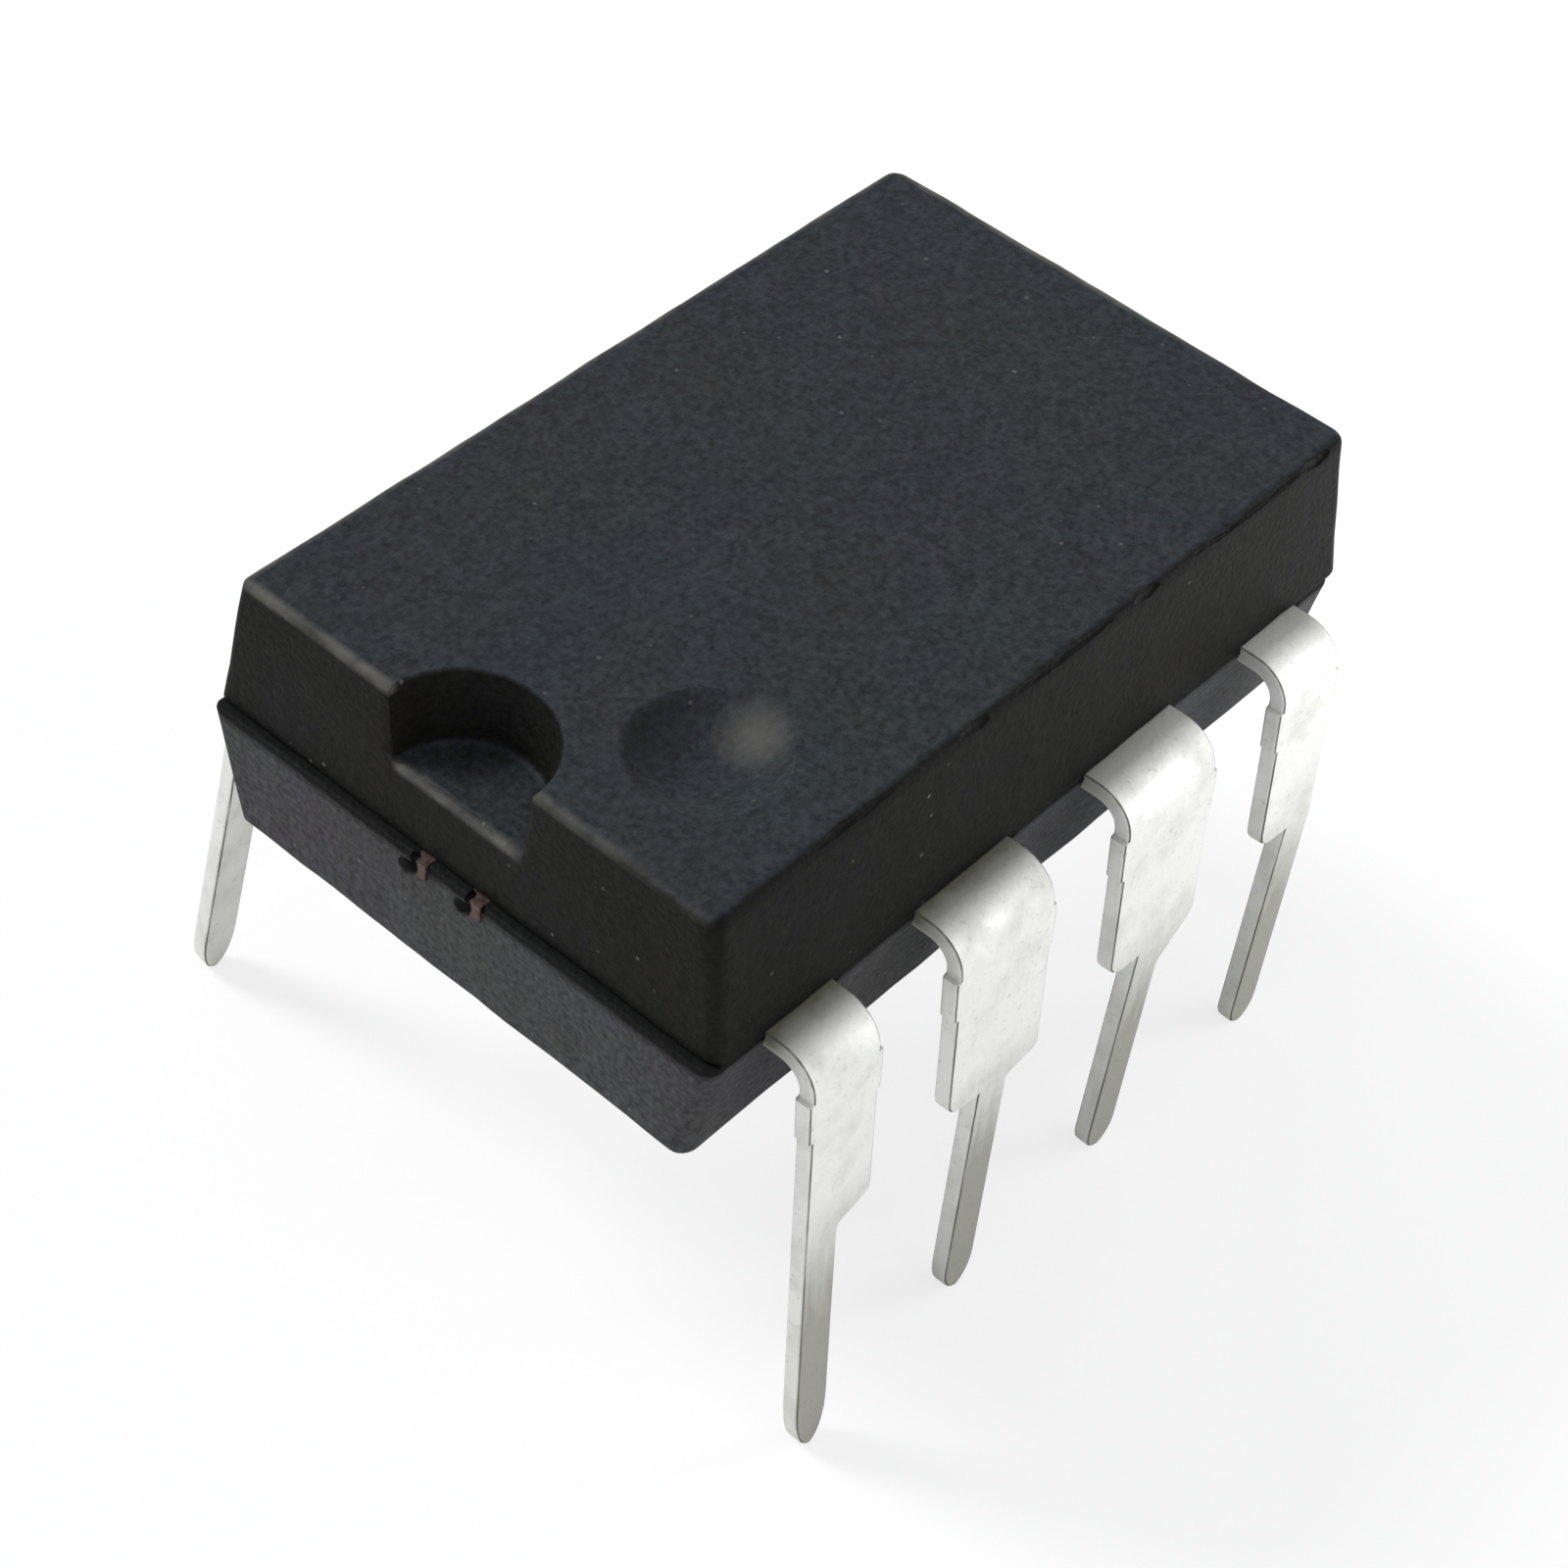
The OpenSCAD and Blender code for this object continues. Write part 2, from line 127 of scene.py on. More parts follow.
class PackageBodySettings(bpy.types.PropertyGroup):
    body_length: length("Length", "Length of each moulded half at the parting line", 0.0095)
    body_width: length("Width", "Width of each moulded half at the parting line", 0.00647)
    mismatch: length("Mould mismatch", "How far the upper half sits towards +X from the lower one", 0.0001)
    end_draft: angle("End draft", "Draft of the two end faces", 2.3)
    upper_draft: angle("Upper draft", "Draft of the long sides of the upper half", 7.5)
    lower_draft: angle("Lower draft", "Draft of the long sides of the lower half", 10.5)
    corner_radius: length("Corner radius", "Radius of the other three upright corners", 0.00018)
    sharp_radius: length("Sharp radius", "Radius of the notched end's far corner, above the rim's", 0.00009)
    far_swell: length("Far swell", "How far the far side stands out at the seam and below it", 0.00009)
    rim_radius: length("Rim radius", "Radius along the top and bottom rims", 0.00006)
    seam_chamfer: length("Seam chamfer", "Worn chamfer of each half at the parting line", 0.00005)
    notch_radius: length("Notch radius", "Radius of the end notch at the top face", 0.00092)
    notch_depth: length("Notch depth", "Depth of the end notch", 0.00087)
    notch_offset: length("Notch offset", "Distance of the end notch from the middle, towards +Y", 0.0001)
    notch_draft: angle("Notch draft", "Draft of the wall of the end notch", 4)
    dimple_radius: length("Dimple radius", "Radius of the dished mark beside lead 1", 0.00079)
    dimple_depth: length("Dimple depth", "Depth of the dished mark", 0.00024)
    dimple_from_end: length("Dimple from end", "Distance of the dished mark from the notched end", 0.00162)
    dimple_from_side: length("Dimple from side", "Distance of the dished mark from lead 1's side", 0.00171)
    ejector_radius: length("Ejector radius", "Radius of the two marks in the underside", 0.00075)
    ejector_depth: length("Ejector depth", "Depth of the two marks in the underside", 0.00005)
    ejector_reach: length("Ejector reach", "Distance of each ejector mark from the middle", 0.0029)
    wobble: length("Wobble", "How far the moulded faces and edges stray from true", 0.00003)
    grid: length("Grid", "Spacing of the mesh on the moulded faces", 0.0002)
    epoxy_colour: colour("Compound", "Colour of the moulding compound", "#2a2d30")
    # Painted shade: the upper half's sides are drawn in this darker colour
    shaded_side_colour: colour("Shaded sides", "Colour of the upper half's sides", "#161614")
    # Painted light: the lower half is drawn in this paler colour
    lit_lower_colour: colour("Lower half", "Colour of the paler lower half", "#3d3d3f")
    # This colour also paints the highlight in the dish
    wear_and_highlight_colour: colour("Worn edge", "Colour of the compound where an edge is rubbed", "#6a6862")
    # Painted shade: this colour darkens the seam, the near rim and one side of the dish
    shade_colour: colour("Seam", "Colour of the dirt along the parting line", "#0e0e0d")


class LeadSettings(bpy.types.PropertyGroup):
    pitch: length("Pitch", "Distance between neighbouring leads of a row", 0.00254)
    thickness: length("Thickness", "Thickness of the lead frame strip", 0.0002)
    pin_width: length("Pin width", "Width of the pin that goes through the board", 0.00046)
    shoulder_width: length("Shoulder width", "Width of the shoulder that rests on the board", 0.0014)
    standoff: length("Standoff", "Straight run from the side of the body to the bend", 0.000175)
    bend_radius: length("Bend radius", "Inner radius of the bend", 0.00025)
    shoulder_drop: length("Shoulder drop", "Drop from the seam to the end of the shoulders", 0.00244)
    pin_length: length("Pin length", "Length of the pins below the shoulders", 0.003415)
    step_radius: length("Step radius", "Rounding of the corner towards the notched end", 0.00018)
    stub_drop: length("Stub drop", "Drop from the seam to the sheared stubs", 0.0005)
    stub_height: length("Stub height", "Height of the sheared stubs", 0.00052)
    stub_reach: length("Stub reach", "How far the sheared stubs stand out of the edge", 0.00005)
    edge_radius: length("Edge radius", "Rolled radius along the strip's edges", 0.000035)
    anchor_depth: length("Anchor depth", "How deep the full width is anchored in the body", 0.00045)
    finger_width: length("Finger width", "Width of the lead fingers inside the body", 0.0005)
    finger_gap: length("Finger gap", "Gap between a finger and the die paddle", 0.00025)
    finger_tip: length("Finger tip", "Width of the slanted fingers at their tips", 0.00046)
    knee_depth: length("Knee depth", "Distance from the body's side to the end fingers' knee", 0.00105)
    paddle_length: length("Paddle length", "Length of the die paddle", 0.0032)
    paddle_width: length("Paddle width", "Width of the die paddle", 0.0023)
    tie_reach: length("Tie reach", "Distance of the outer tie bar's edge from the middle", 0.00057)
    step_slopes: amounts(
        "Step slopes",
        "Slope of the other shoulder corner, for each lead of a row",
        (0.00014, 0.0001, 0.00046, 0.00014),
        unit="LENGTH",
        precision=5,
    )
    tip_lengths: amounts(
        "Tip lengths",
        "Length of the rounded end of the pin, for each lead of a row",
        (0.00062, 0.00042, 0.0003, 0.0003),
        unit="LENGTH",
        precision=5,
    )
    near_shoulder_lean: angle("Near shoulder lean", "Outward lean of the shoulders of leads 1 to 4", 3)
    far_shoulder_lean: angle("Far shoulder lean", "Outward lean of the shoulders of leads 5 to 8", 10.5)
    near_pin_leans: amounts(
        "Near pin leans",
        "Outward lean of the pins of leads 1 to 4",
        [math.radians(a) for a in (3.2, -0.3, -2.2, -1.6)],
        subtype="EULER",
    )
    far_pin_leans: amounts(
        "Far pin leans",
        "Outward lean of the pins of leads 8 to 5",
        [math.radians(a) for a in (11.5, 11.1, 11.8, 11.4)],
        subtype="EULER",
    )
    tin_colour: colour("Tin", "Colour of the matte tin plate", "#e6e6e2")
    stain_colour: colour("Stain", "Colour of the stains in the plate", "#9c9b92")
    # Painted shade: the pins' rolled faces are drawn towards this grey
    pin_shade_colour: colour("Pins", "Colour of the shaded pins", "#a2a199")
    # Also the colour of the painted shade along the rolled edges and beside the body
    bleed_and_shade_colour: colour("Resin bleed", "Colour of the resin bleed beside the body", "#5f5f51")


class InsideSettings(bpy.types.PropertyGroup):
    copper_colour: colour("Copper", "Colour of the sheared copper alloy", "#584740")
    silver_colour: colour("Silver adhesive", "Colour of the silver-filled adhesive", "#a9aaab")
    silicon_colour: colour("Silicon", "Colour of the polished silicon", "#4a5268")
    gold_colour: colour("Gold", "Colour of the gold wire", "#e0b452")


class StudioSettings(bpy.types.PropertyGroup):
    floor_colour: colour("Floor", "Colour of the pale floor", "#f4f4f3")
    sky_strength: amount("Sky strength", "Strength of the even light from all round", 0.5, min=0)
    key_strength: amount("Key strength", "Strength of the key light from the far side", 2.6, min=0)
    fill_strength: amount("Fill strength", "Strength of the broad light on the near leads", 0.45, min=0)
    side_power: amount("Side power", "Power of the panel beside the last leads", 0.0027, min=0, precision=4)
    focal_length: amount("Focal length", "Focal length of the camera", 82.37, subtype="DISTANCE_CAMERA")


# Workshop helpers


def alone(piece):
    """Make one object the only selected and the active one."""
    bpy.ops.object.select_all(action="DESELECT")
    piece.select_set(True)
    bpy.context.view_layer.objects.active = piece


def start_edit(piece):
    """Open one object for editing, with all of it selected."""
    alone(piece)
    bpy.ops.object.mode_set(mode="EDIT")
    bpy.ops.mesh.select_all(action="SELECT")


def end_edit():
    bpy.ops.object.mode_set(mode="OBJECT")


def choose(piece, kind, test):
    """Select the vertices, edges or faces of the edited piece that pass a test."""
    bpy.ops.mesh.select_mode(type=kind)
    bpy.ops.mesh.select_all(action="DESELECT")
    mesh = bmesh.from_edit_mesh(piece.data)
    chosen = {"VERT": mesh.verts, "EDGE": mesh.edges, "FACE": mesh.faces}[kind]
    for element in chosen:
        if test(element):
            element.select_set(True)
    bmesh.update_edit_mesh(piece.data)


def named(name):
    """The active new primitive under its name, with its place and size in its mesh."""
    piece = bpy.context.object
    piece.name = name
    piece.data.name = name
    alone(piece)
    bpy.ops.object.transform_apply(location=True, rotation=True, scale=True)
    return piece


def modify(piece, kind, **settings):
    """Give the piece a modifier with these settings and apply it."""
    alone(piece)
    modifier = piece.modifiers.new(kind.lower(), kind)
    for name, value in settings.items():
        setattr(modifier, name, value)
    bpy.ops.object.modifier_apply(modifier=modifier.name)


def discard(piece):
    mesh = piece.data
    bpy.data.objects.remove(piece)
    bpy.data.meshes.remove(mesh)


def combine(piece, tool, operation):
    """Join a tool to the piece or cut it out of the piece, and discard the tool."""
    modify(piece, "BOOLEAN", operation=operation, object=tool, solver="EXACT")
    discard(tool)


def close_up(piece, distance=1e-4):
    """Merge doubled points and turn all faces outwards."""
    start_edit(piece)
    bpy.ops.mesh.remove_doubles(threshold=distance)
    bpy.ops.mesh.normals_make_consistent(inside=False)
    end_edit()


def finish_piece(piece, limit, material, slot, *nodes):
    """Smooth a modelled piece, reduce it to metres and put it in the place of its CAD nodes."""
    alone(piece)
    bpy.ops.object.shade_smooth_by_angle(angle=math.radians(limit))
    modify(piece, "WEIGHTED_NORMAL", mode="FACE_AREA", keep_sharp=True)
    bpy.ops.transform.resize(value=(1 / WORKSHOP,) * 3, center_override=(0, 0, 0))
    bpy.ops.object.transform_apply(location=True, rotation=True, scale=True)
    piece.data.materials.clear()
    piece.data.materials.append(material)
    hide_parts(*nodes)
    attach(piece, "root")


def workshop_copy(source, name):
    """A copy of a finished piece or CAD node, in workshop scale, with its own merged mesh."""
    made = bpy.data.objects.new(name, source.data.copy())
    bpy.context.scene.collection.objects.link(made)
    made.data.materials.clear()
    alone(made)
    bpy.ops.transform.resize(value=(WORKSHOP,) * 3, center_override=(0, 0, 0))
    bpy.ops.object.transform_apply(location=True, rotation=True, scale=True)
    close_up(made)
    return made


# Materials

# Sockets of the Mix node for colours
FACTOR, FIRST, SECOND, MIXED = 0, 6, 7, 2
# Outputs of a Map Range node for a mask that ends where its range ends
FADE_OUT = {"To Min": 1.0, "To Max": 0.0}


def add_node(tree, kind, inputs=None, **settings):
    """Add a node with its settings, and its inputs set, or linked to a socket or a node's first output."""
    made = tree.nodes.new("ShaderNode" + kind)
    for name, value in settings.items():
        setattr(made, name, value)
    for name, value in (inputs or {}).items():
        if isinstance(value, bpy.types.Node):
            value = value.outputs[0]
        if isinstance(value, bpy.types.NodeSocket):
            tree.links.new(value, made.inputs[name])
        else:
            made.inputs[name].default_value = value
    return made


def start_material(name):
    """An empty material, and the adding of nodes to it."""
    material = bpy.data.materials.new(name)
    material.use_nodes = True
    material.node_tree.nodes.clear()
    return material, partial(add_node, material.node_tree)


def rgba(value):
    return (*value, 1.0)


def moulded_epoxy(settings):
    """Epoxy moulding compound, transfer moulded: near black and matte, with a fine sand-like grain
    from the spark-eroded mould, cloudy patches and rubbed pale rims, with painted light on the lower half,
    the end rims and the dish, and painted shade on the upper sides, the dish, the seam and the near rim."""
    material, add = start_material("moulded_epoxy")
    place = add("TexCoord").outputs["Object"]
    x, y, height = add("SeparateXYZ", {0: place}).outputs
    half_length, half_width = settings.body_length / 2, settings.body_width / 2
    worn, shade = settings.wear_and_highlight_colour, settings.shade_colour
    # The lower half is drawn palest and the sides of the upper half darkest, as the photograph shows them
    # The paler lower half is painted light from below, and the darker upper sides are painted shade
    above = add("MapRange", {"Value": height, "From Min": PARTING - 0.00008, "From Max": PARTING})
    upward = add("SeparateXYZ", {0: add("NewGeometry").outputs["Normal"]}).outputs[2]
    slanted = add("MapRange", {"Value": upward, "From Min": 0.3, "From Max": 0.9, **FADE_OUT})
    shaded_upper_side = add("Math", {0: slanted, 1: above}, operation="MULTIPLY")
    tint = rgba(settings.lit_lower_colour)
    for mask, paint in ((above, settings.epoxy_colour), (shaded_upper_side, settings.shaded_side_colour)):
        tint = add("Mix", {FACTOR: mask, FIRST: tint, SECOND: rgba(paint)}, data_type="RGBA").outputs[MIXED]
    # Cloudy patches of resin and filler, about 1.5 mm across
    cloud = add("TexNoise", {"Vector": place, "Scale": 650.0, "Detail": 4.0})
    cloud_tint = add(
        "VectorMath",
        {0: cloud.outputs["Color"], 1: (0.32, 0.28, 0.32), 2: (0.84, 0.86, 0.84)},
        operation="MULTIPLY_ADD",
    )
    clouded = add("VectorMath", {0: tint, 1: cloud_tint}, operation="MULTIPLY")
    # Filler grains, drawn 0.06 mm across so that they show
    grain = add("TexNoise", {"Vector": place, "Scale": 14000.0, "Detail": 3.0})
    grain_share = add(
        "MapRange", {"Value": grain, "From Min": 0.3, "From Max": 0.72, "To Min": 0.62, "To Max": 1.5}
    )
    # Upright streaks, 0.2 mm apart, as from pulling the part out of the mould
    streak_place = add("VectorMath", {0: place, 1: (1.0, 1.0, 0.1)}, operation="MULTIPLY")
    streak = add("TexNoise", {"Vector": streak_place, "Scale": 5000.0, "Detail": 2.0})
    streak_share = add(
        "MapRange", {"Value": streak, "From Min": 0.3, "From Max": 0.7, "To Min": 0.93, "To Max": 1.07}
    )
    marks = add("Math", {0: grain_share, 1: streak_share}, operation="MULTIPLY")
    grained = add("VectorMath", {0: clouded, 1: marks}, operation="MULTIPLY")
    # The dished mark is drawn dark on its shaded side, with the pale spot that shines in the photograph
    radius = settings.dimple_radius
    dish = Vector((settings.dimple_from_end - half_length, settings.dimple_from_side - half_width, TOP))
    across_dish = Vector((0.3, -0.95, 0.0))
    highlight_spot = dish + Vector((0.63, -0.12, 0.0)) * radius
    from_dish = add("VectorMath", {0: place, 1: dish}, operation="DISTANCE").outputs["Value"]
    in_dish = add(
        "MapRange",
        {"Value": from_dish, "From Min": radius - 0.00006, "From Max": radius + 0.00003, **FADE_OUT},
    )
    way_over = add("VectorMath", {0: place, 1: across_dish}, operation="DOT_PRODUCT").outputs["Value"]
    # Painted shade on one side of the dish
    dish_shade = add(
        "MapRange",
        {
            "Value": way_over,
            "From Min": dish.dot(across_dish) - radius,
            "From Max": dish.dot(across_dish),
            "To Min": 0.65,
            "To Max": 0.0,
        },
    )
    painted_dish_shade = add("Math", {0: dish_shade, 1: in_dish}, operation="MULTIPLY")
    from_spot = add("VectorMath", {0: place, 1: highlight_spot}, operation="DISTANCE").outputs["Value"]
    # A painted highlight: the pale spot in the dish
    dish_highlight = add(
        "MapRange",
        {"Value": from_spot, "From Min": 0.0, "From Max": 0.0005, "To Min": 0.5, "To Max": 0.0},
        interpolation_type="SMOOTHSTEP",
    )
    # The end rims and the far rim of the top face are rubbed pale, the ends hardly towards the near side;
    # that fading of the ends is painted light
    rub = add("TexNoise", {"Vector": place, "Scale": 2600.0, "Detail": 4.0})
    rub_share = add(
        "MapRange", {"Value": rub, "From Min": 0.3, "From Max": 0.7, "To Min": 0.15, "To Max": 0.9}
    )
    centred = add("Math", {0: x, 1: settings.mismatch / 2}, operation="SUBTRACT")
    across = add("Math", {0: centred}, operation="ABSOLUTE")
    end_rim = add(
        "MapRange", {"Value": across, "From Min": half_length - 0.00019, "From Max": half_length - 0.00012}
    )
    # Painted light: the ends' paleness grows towards the far side
    far_half = add(
        "MapRange", {"Value": y, "From Min": -0.0022, "From Max": 0.0004, "To Min": 0.15, "To Max": 1.0}
    )
    end_wear_and_light = add("Math", {0: end_rim, 1: far_half}, operation="MULTIPLY")
    far_rim = add(
        "MapRange", {"Value": y, "From Min": half_width - 0.00032, "From Max": half_width - 0.00024}
    )
    either = add("Math", {0: end_wear_and_light, 1: far_rim}, operation="MAXIMUM")
    high = add("MapRange", {"Value": height, "From Min": TOP - 0.00011, "From Max": TOP - 0.00005})
    rubbed = add("Math", {0: either, 1: high}, operation="MULTIPLY")
    # So is the lip of the notch's floor
    aside = add("Math", {0: y, 1: settings.notch_offset}, operation="SUBTRACT")
    off_notch = add("Math", {0: aside}, operation="ABSOLUTE")
    in_notch = add(
        "MapRange",
        {
            "Value": off_notch,
            "From Min": settings.notch_radius - 0.00018,
            "From Max": settings.notch_radius - 0.00006,
            **FADE_OUT,
        },
    )
    lip_end = add(
        "MapRange",
        {"Value": x, "From Min": 0.0001 - half_length, "From Max": 0.0002 - half_length, **FADE_OUT},
    )
    above_lip = add("Math", {0: height, 1: TOP - settings.notch_depth}, operation="SUBTRACT")
    off_lip = add("Math", {0: above_lip}, operation="ABSOLUTE")
    lip_level = add(
        "MapRange",
        {"Value": off_lip, "From Min": 0.00004, "From Max": 0.00011, "To Min": 0.8, "To Max": 0.0},
    )
    lip_front = add("Math", {0: lip_end, 1: lip_level}, operation="MULTIPLY")
    lip = add("Math", {0: lip_front, 1: in_notch}, operation="MULTIPLY")
    all_rubbed = add("Math", {0: rubbed, 1: lip}, operation="MAXIMUM")
    wear = add("Math", {0: all_rubbed, 1: rub_share}, operation="MULTIPLY")
    # Ragged painted shade along the seam's groove, gone 0.18 mm from it, and along the near rim of the top
    # face
    ragged = add("Math", {0: rub, 1: 0.00012, 2: height}, operation="MULTIPLY_ADD")
    off_seam = add("Math", {0: ragged, 1: PARTING + 0.00006}, operation="SUBTRACT")
    distance = add("Math", {0: off_seam}, operation="ABSOLUTE")
    seam_shade = add(
        "MapRange",
        {"Value": distance, "From Min": 0.00005, "From Max": 0.00018, "To Min": 0.9, "To Max": 0.0},
    )
    near_rim = add(
        "MapRange",
        {"Value": y, "From Min": 0.00025 - half_width, "From Max": 0.00034 - half_width, **FADE_OUT},
    )
    rim_level = add("MapRange", {"Value": height, "From Min": TOP - 0.00016, "From Max": TOP - 0.00011})
    near_edge = add("Math", {0: near_rim, 1: rim_level}, operation="MULTIPLY")
    rim_shade = add("Math", {0: near_edge, 1: 0.95}, operation="MULTIPLY")
    all_shade = add("Math", {0: seam_shade, 1: rim_shade}, operation="MAXIMUM")
    # Stray pale specks of dust and filler
    dust = add("TexVoronoi", {"Vector": place, "Scale": 2600.0, "Randomness": 1.0})
    near_dust = add("MapRange", {"Value": dust, "From Min": 0.035, "From Max": 0.07, **FADE_OUT})
    dusty = add("Math", {0: near_dust, 1: rub_share}, operation="MULTIPLY")
    tint = grained
    # The dark side of the dish and the bands along the seam and near rim are painted shade, and the dish's
    # pale spot a painted highlight
    for mask, paint in ((painted_dish_shade, shade), (dish_highlight, worn), (wear, worn), (all_shade, shade), (dusty, worn)):
        tint = add("Mix", {FACTOR: mask, FIRST: tint, SECOND: rgba(paint)}, data_type="RGBA").outputs[MIXED]
    roughness = add(
        "MapRange", {"Value": cloud, "From Min": 0.3, "From Max": 0.7, "To Min": 0.54, "To Max": 0.62}
    )
    fine = add("Bump", {"Height": grain, "Distance": 0.00002, "Strength": 0.7})
    coarse = add("Bump", {"Height": rub, "Distance": 0.00003, "Strength": 0.25, "Normal": fine})
    shader = add(
        "BsdfPrincipled",
        {"Base Color": tint, "Roughness": roughness, "Specular IOR Level": 0.06, "Normal": coarse},
    )
    add("OutputMaterial", {"Surface": shader})
    return material


def matte_tin(settings):
    """Matte tin plate over copper alloy, barrel plated after forming: pale warm grey and dull, with
    cloudy stains, small pits and faint drawing lines along the strip."""
    material, add = start_material("matte_tin_plate")
    place = add("TexCoord").outputs["Object"]
    x, y, height = add("SeparateXYZ", {0: place}).outputs
    cloud = add("TexNoise", {"Vector": place, "Scale": 2200.0, "Detail": 5.0})
    stains = add("MapRange", {"Value": cloud, "From Min": 0.45, "From Max": 0.75, "To Max": 0.27})
    # The rolled faces of the pins get painted shade, greyer towards the tips, in faint lines along the
    # strip
    normal = add("NewGeometry").outputs["Normal"]
    sideways = add("Math", {0: add("SeparateXYZ", {0: normal})}, operation="ABSOLUTE")
    rolled = add(
        "MapRange", {"Value": sideways, "From Min": 0.45, "From Max": 0.8, "To Min": 1.0, "To Max": 0.15}
    )
    draw_place = add("VectorMath", {0: place, 1: (1.0, 1.0, 0.12)}, operation="MULTIPLY")
    drawn = add("TexNoise", {"Vector": draw_place, "Scale": 9000.0, "Detail": 3.0})
    low_down = add(
        "MapRange", {"Value": height, "From Min": 0.0, "From Max": 0.0039, "To Min": 3.4, "To Max": 0.0}
    )
    rubbed = add("Math", {0: low_down, 1: rolled}, operation="MULTIPLY")
    drawn_share = add(
        "MapRange", {"Value": drawn, "From Min": 0.3, "From Max": 0.7, "To Min": 0.38, "To Max": 0.58}
    )
    pin_shade = add("Math", {0: rubbed, 1: drawn_share}, operation="MULTIPLY", use_clamp=True)
    # The far row is drawn paler than the near one, as the photograph shows it
    # The paler far row is painted light and the greyer near row painted shade
    nearness = add(
        "MapRange", {"Value": y, "From Min": -0.001, "From Max": 0.001, "To Min": 1.35, "To Max": 0.3}
    )
    row_pin_shade = add("Math", {0: pin_shade, 1: nearness}, operation="MULTIPLY", use_clamp=True)
    # Painted shade in a dark line where a rolled face meets a sheared edge
    edge_shade_start = add("MapRange", {"Value": sideways, "From Min": 0.2, "From Max": 0.5, "To Max": 2.2})
    past_edge_shade = add("MapRange", {"Value": sideways, "From Min": 0.6, "From Max": 0.9, **FADE_OUT})
    edge_shade_line = add("Math", {0: edge_shade_start, 1: past_edge_shade}, operation="MULTIPLY")
    edge_shade = add("Math", {0: edge_shade_line, 1: drawn}, operation="MULTIPLY")
    # Olive resin bleed on the strip beside the body, partly painted shade there, with less of it away from
    # the notched end as painted light
    out = add("Math", {0: y}, operation="ABSOLUTE")
    ragged = add("Math", {0: cloud, 1: 0.0003, 2: out}, operation="MULTIPLY_ADD")
    bleed = add(
        "MapRange",
        {"Value": ragged, "From Min": 0.0034, "From Max": 0.00388, "To Min": 0.95, "To Max": 0.0},
    )
    level = add("MapRange", {"Value": height, "From Min": PARTING - 0.00035, "From Max": PARTING - 0.0001})
    flat_bleed = add("Math", {0: bleed, 1: level}, operation="MULTIPLY")
    along = add(
        "MapRange", {"Value": x, "From Min": -0.001, "From Max": 0.002, "To Min": 1.0, "To Max": 0.5}
    )
    bleed_and_shade_share = add("Math", {0: flat_bleed, 1: along}, operation="MULTIPLY")
    # Pits and specks, about 0.05 mm across
    speck = add("TexNoise", {"Vector": place, "Scale": 14000.0, "Detail": 3.0})
    speck_share = add("MapRange", {"Value": speck, "From Min": 0.6, "From Max": 0.8, "To Max": 0.32})
    tint = rgba(settings.tin_colour)
    # The pins' tone and the dark edge lines are painted shade, and the bleed partly so; stains and specks
    # are the plate's own
    for mask, paint in (
        (stains, settings.stain_colour),
        (row_pin_shade, settings.pin_shade_colour),
        (edge_shade, settings.bleed_and_shade_colour),
        (bleed_and_shade_share, settings.bleed_and_shade_colour),
        (speck_share, [c * 0.6 for c in settings.stain_colour]),
    ):
        tint = add("Mix", {FACTOR: mask, FIRST: tint, SECOND: rgba(paint)}, data_type="RGBA").outputs[MIXED]
    roughness = add(
        "MapRange", {"Value": cloud, "From Min": 0.3, "From Max": 0.7, "To Min": 0.6, "To Max": 0.8}
    )
    fine = add("Bump", {"Height": speck, "Distance": 0.00001, "Strength": 0.5})
    coarse = add("Bump", {"Height": cloud, "Distance": 0.00004, "Strength": 0.22, "Normal": fine})
    shader = add(
        "BsdfPrincipled", {"Base Color": tint, "Metallic": 0.6, "Roughness": roughness, "Normal": coarse}
    )
    add("OutputMaterial", {"Surface": shader})
    return material


def plain_metal(name, tint, dark, scale, roughness, metallic=1.0):
    """A worked metal or filled resin: its colour, a darker cloud and a fine bump of one grain size."""
    material, add = start_material(name)
    place = add("TexCoord").outputs["Object"]
    grain = add("TexNoise", {"Vector": place, "Scale": scale, "Detail": 3.0})
    share = add("MapRange", {"Value": grain, "From Min": 0.4, "From Max": 0.7})
    shades = {FACTOR: share, FIRST: rgba(tint), SECOND: rgba([c * dark for c in tint])}
    mixed = add("Mix", shades, data_type="RGBA").outputs[MIXED]
    bump = add("Bump", {"Height": grain, "Distance": 0.1 / scale, "Strength": 0.4})
    shader = add(
        "BsdfPrincipled",
        {"Base Color": mixed, "Metallic": metallic, "Roughness": roughness, "Normal": bump},
    )
    add("OutputMaterial", {"Surface": shader})
    return material


# Leads

Station = namedtuple("Station", "left right pitch")


